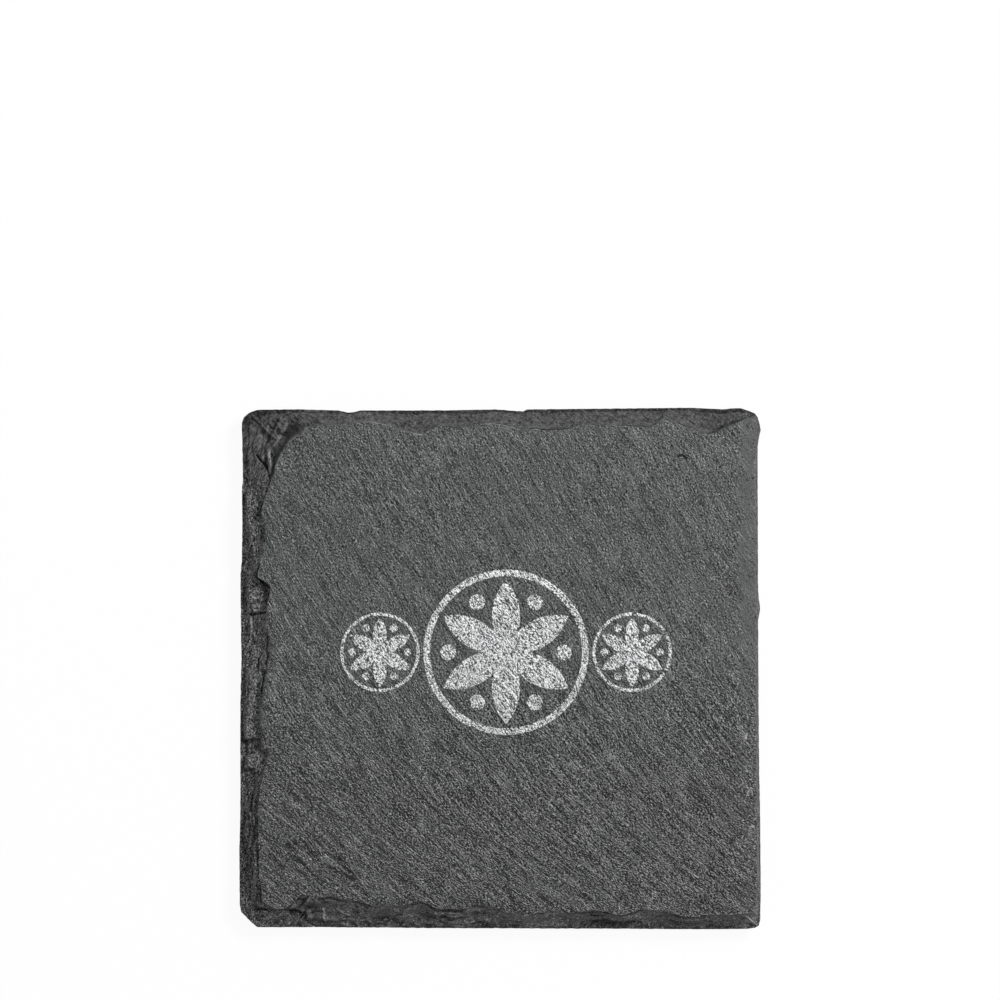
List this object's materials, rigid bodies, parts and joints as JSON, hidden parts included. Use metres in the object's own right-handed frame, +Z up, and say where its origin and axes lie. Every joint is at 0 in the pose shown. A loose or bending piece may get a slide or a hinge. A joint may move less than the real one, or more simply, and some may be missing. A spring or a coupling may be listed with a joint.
{
  "type": "drink coaster",
  "caption": "Square slate drink coaster with hand-dressed edges, standing on stick-on foam feet that keep it off the table.",
  "frame": {"origin": "centre of the footprint, on the surface that the coaster stands on", "axes": "+Z up; +Y towards the back edge, which is the upper edge in the picture; +X to the right"},
  "size_m": [0.1, 0.1, 0.0071],
  "materials": {
    "slate": "natural cleft slate, matt, with a fine grain",
    "foam": "black closed-cell foam, matt",
    "adhesive": "pale double-sided adhesive film"
  },
  "bodies": {
    "root": {"slate_slab": "slate", "foot_front_left": "foam", "foot_front_right": "foam", "foot_back_left": "foam", "foot_back_right": "foam", "adhesive_front_left": "adhesive", "adhesive_front_right": "adhesive", "adhesive_back_left": "adhesive", "adhesive_back_right": "adhesive"}
  },
  "joints": []
}
